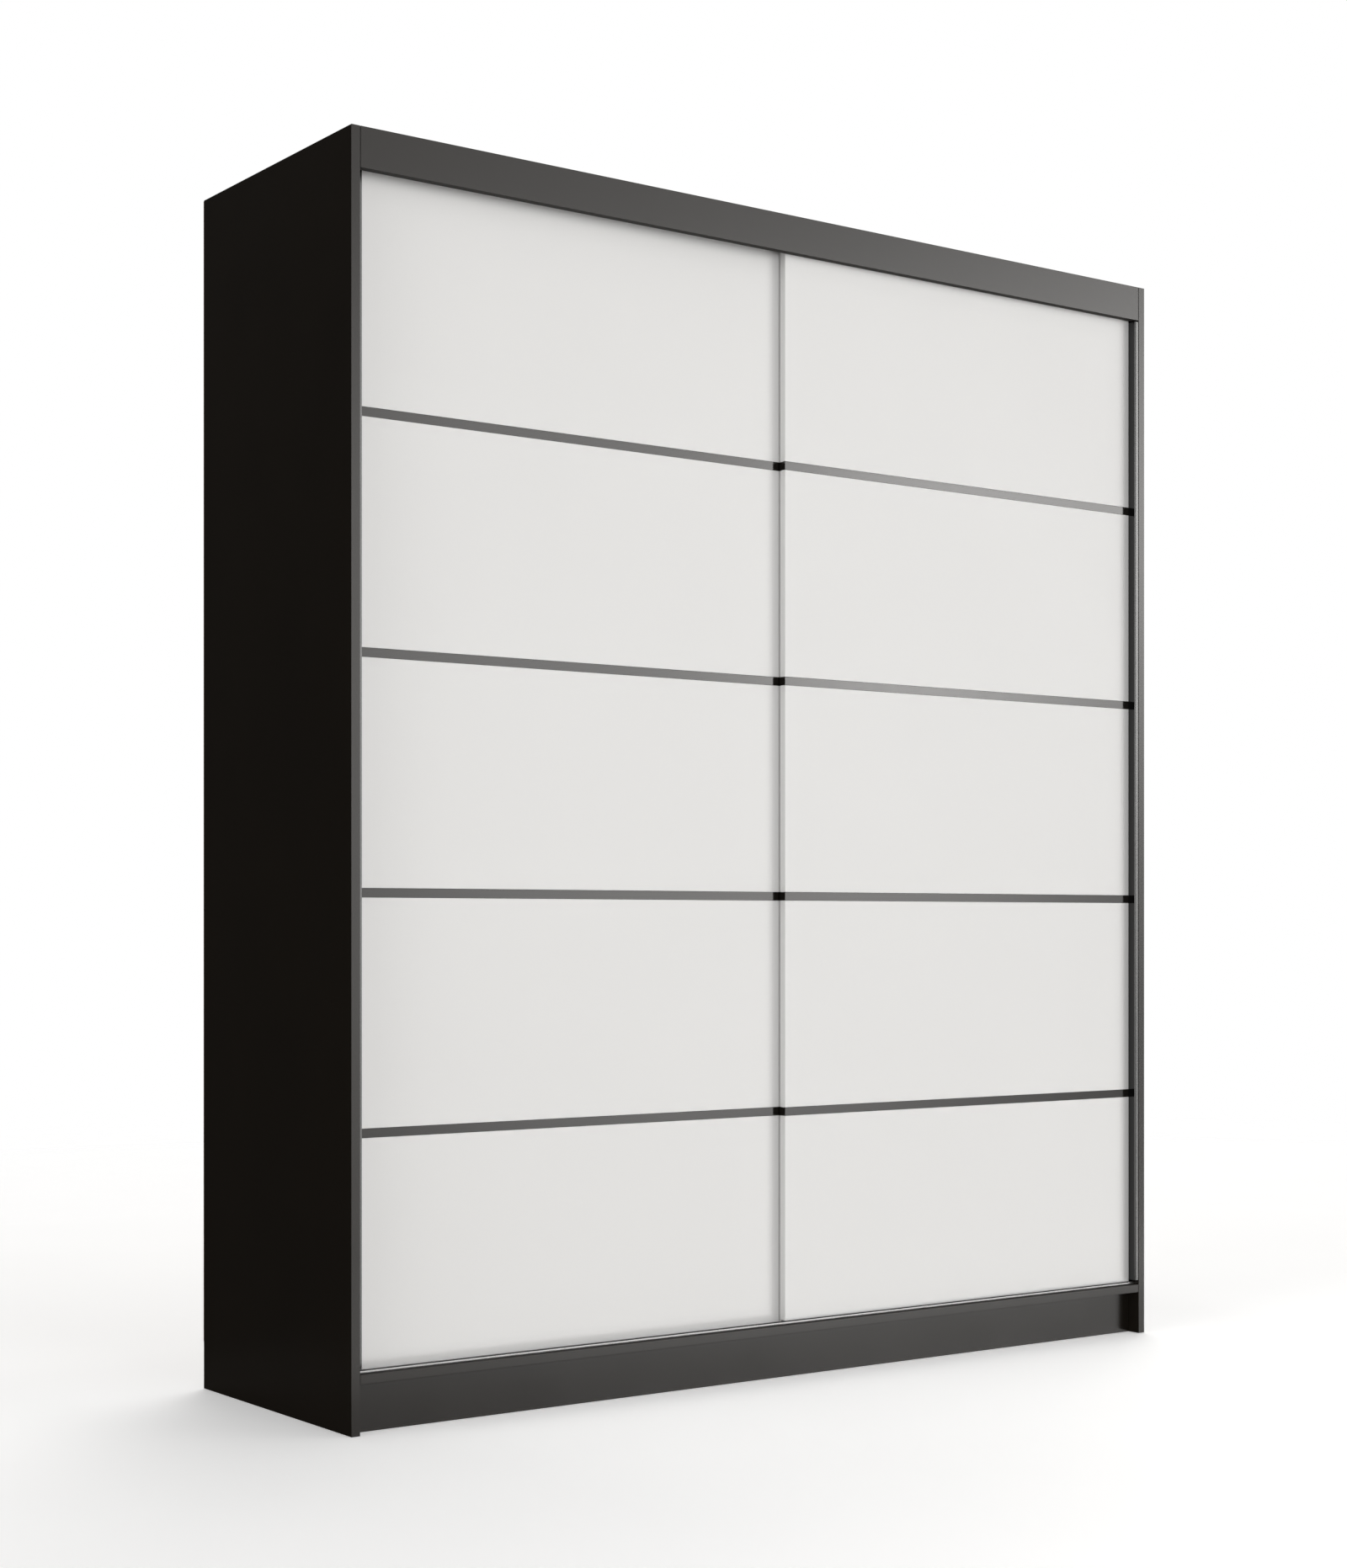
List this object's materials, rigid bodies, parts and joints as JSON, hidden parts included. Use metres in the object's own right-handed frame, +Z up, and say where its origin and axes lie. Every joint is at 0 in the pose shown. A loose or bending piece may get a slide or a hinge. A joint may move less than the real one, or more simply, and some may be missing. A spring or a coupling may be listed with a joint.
{
  "type": "sliding-door wardrobe",
  "caption": "Free-standing wardrobe with sliding doors on a double track, shelves and a hanging rail inside.",
  "frame": {"origin": "on the floor, under the middle of the wardrobe's box", "axes": "+X along the front from its left end to its right end, +Y from the front to the back, +Z up"},
  "size_m": [1.8, 0.58, 2.15],
  "materials": {
    "black_laminate": "satin laminate on chipboard",
    "white_laminate": "satin laminate on chipboard",
    "gloss_black": "gloss",
    "hardboard": "lacquered hardboard",
    "aluminium": "satin anodised",
    "dark_aluminium": "dark anodised",
    "chrome": "bright chrome",
    "black_plastic": "moulded matte",
    "wheel_plastic": "moulded nylon"
  },
  "bodies": {
    "carcass": {"side_panel_left": "black_laminate", "side_panel_right": "black_laminate", "top_board": "black_laminate", "bottom_board": "black_laminate", "centre_partition": "white_laminate", "fascia": "black_laminate", "plinth_front": "black_laminate", "plinth_rear": "black_laminate", "plinth_rib_left": "black_laminate", "plinth_rib_centre": "black_laminate", "plinth_rib_right": "black_laminate", "back_panel_left": "hardboard", "back_panel_right": "hardboard", "hat_shelf_left": "white_laminate", "hat_shelf_right": "white_laminate", "shelf_1": "white_laminate", "shelf_2": "white_laminate", "shelf_3": "white_laminate", "shelf_4": "white_laminate", "hanging_rail": "chrome", "rail_socket_left": "chrome", "rail_socket_right": "chrome", "top_track": "aluminium", "bottom_track": "aluminium", "track_edge_strip": "black_plastic"},
    "front_door": {"front_door_panel_1": "white_laminate", "front_door_panel_2": "white_laminate", "front_door_panel_3": "white_laminate", "front_door_panel_4": "white_laminate", "front_door_panel_5": "white_laminate", "front_door_strip_1": "gloss_black", "front_door_strip_2": "gloss_black", "front_door_strip_3": "gloss_black", "front_door_strip_4": "gloss_black", "front_door_handle": "dark_aluminium", "front_door_housing_left": "black_plastic", "front_door_housing_right": "black_plastic", "front_door_guide_left": "black_plastic", "front_door_guide_right": "black_plastic"},
    "rear_door": {"rear_door_panel_1": "white_laminate", "rear_door_panel_2": "white_laminate", "rear_door_panel_3": "white_laminate", "rear_door_panel_4": "white_laminate", "rear_door_panel_5": "white_laminate", "rear_door_strip_1": "gloss_black", "rear_door_strip_2": "gloss_black", "rear_door_strip_3": "gloss_black", "rear_door_strip_4": "gloss_black", "rear_door_grip": "dark_aluminium", "rear_door_housing_left": "black_plastic", "rear_door_housing_right": "black_plastic", "rear_door_guide_left": "black_plastic", "rear_door_guide_right": "black_plastic"},
    "front_door_wheel_left": {"front_door_wheel_left": "wheel_plastic"},
    "front_door_wheel_right": {"front_door_wheel_right": "wheel_plastic"},
    "rear_door_wheel_left": {"rear_door_wheel_left": "wheel_plastic"},
    "rear_door_wheel_right": {"rear_door_wheel_right": "wheel_plastic"}
  },
  "joints": [
    {"name": "front_door_slide", "type": "slide", "parent": "carcass", "child": "front_door", "axis": [1, 0, 0], "range_m": [-0.8785, 0]},
    {"name": "rear_door_slide", "type": "slide", "parent": "carcass", "child": "rear_door", "axis": [1, 0, 0], "range_m": [0, 0.8785]},
    {"name": "front_door_wheel_left_spin", "type": "hinge", "parent": "front_door", "child": "front_door_wheel_left", "pos_m": [0.086, -0.262, 0.1129], "axis": [0, 1, 0], "range_deg": [-4700, 4700]},
    {"name": "front_door_wheel_right_spin", "type": "hinge", "parent": "front_door", "child": "front_door_wheel_right", "pos_m": [0.7925, -0.262, 0.1129], "axis": [0, 1, 0], "range_deg": [-4700, 4700]},
    {"name": "rear_door_wheel_left_spin", "type": "hinge", "parent": "rear_door", "child": "rear_door_wheel_left", "pos_m": [-0.7925, -0.243, 0.1129], "axis": [0, 1, 0], "range_deg": [-4700, 4700]},
    {"name": "rear_door_wheel_right_spin", "type": "hinge", "parent": "rear_door", "child": "rear_door_wheel_right", "pos_m": [-0.086, -0.243, 0.1129], "axis": [0, 1, 0], "range_deg": [-4700, 4700]}
  ],
  "couplings": [
    {"joint": "front_door_wheel_left_spin", "follows": "front_door_slide", "rad_per_m": 90.909},
    {"joint": "front_door_wheel_right_spin", "follows": "front_door_slide", "rad_per_m": 90.909},
    {"joint": "rear_door_wheel_left_spin", "follows": "rear_door_slide", "rad_per_m": 90.909},
    {"joint": "rear_door_wheel_right_spin", "follows": "rear_door_slide", "rad_per_m": 90.909}
  ]
}
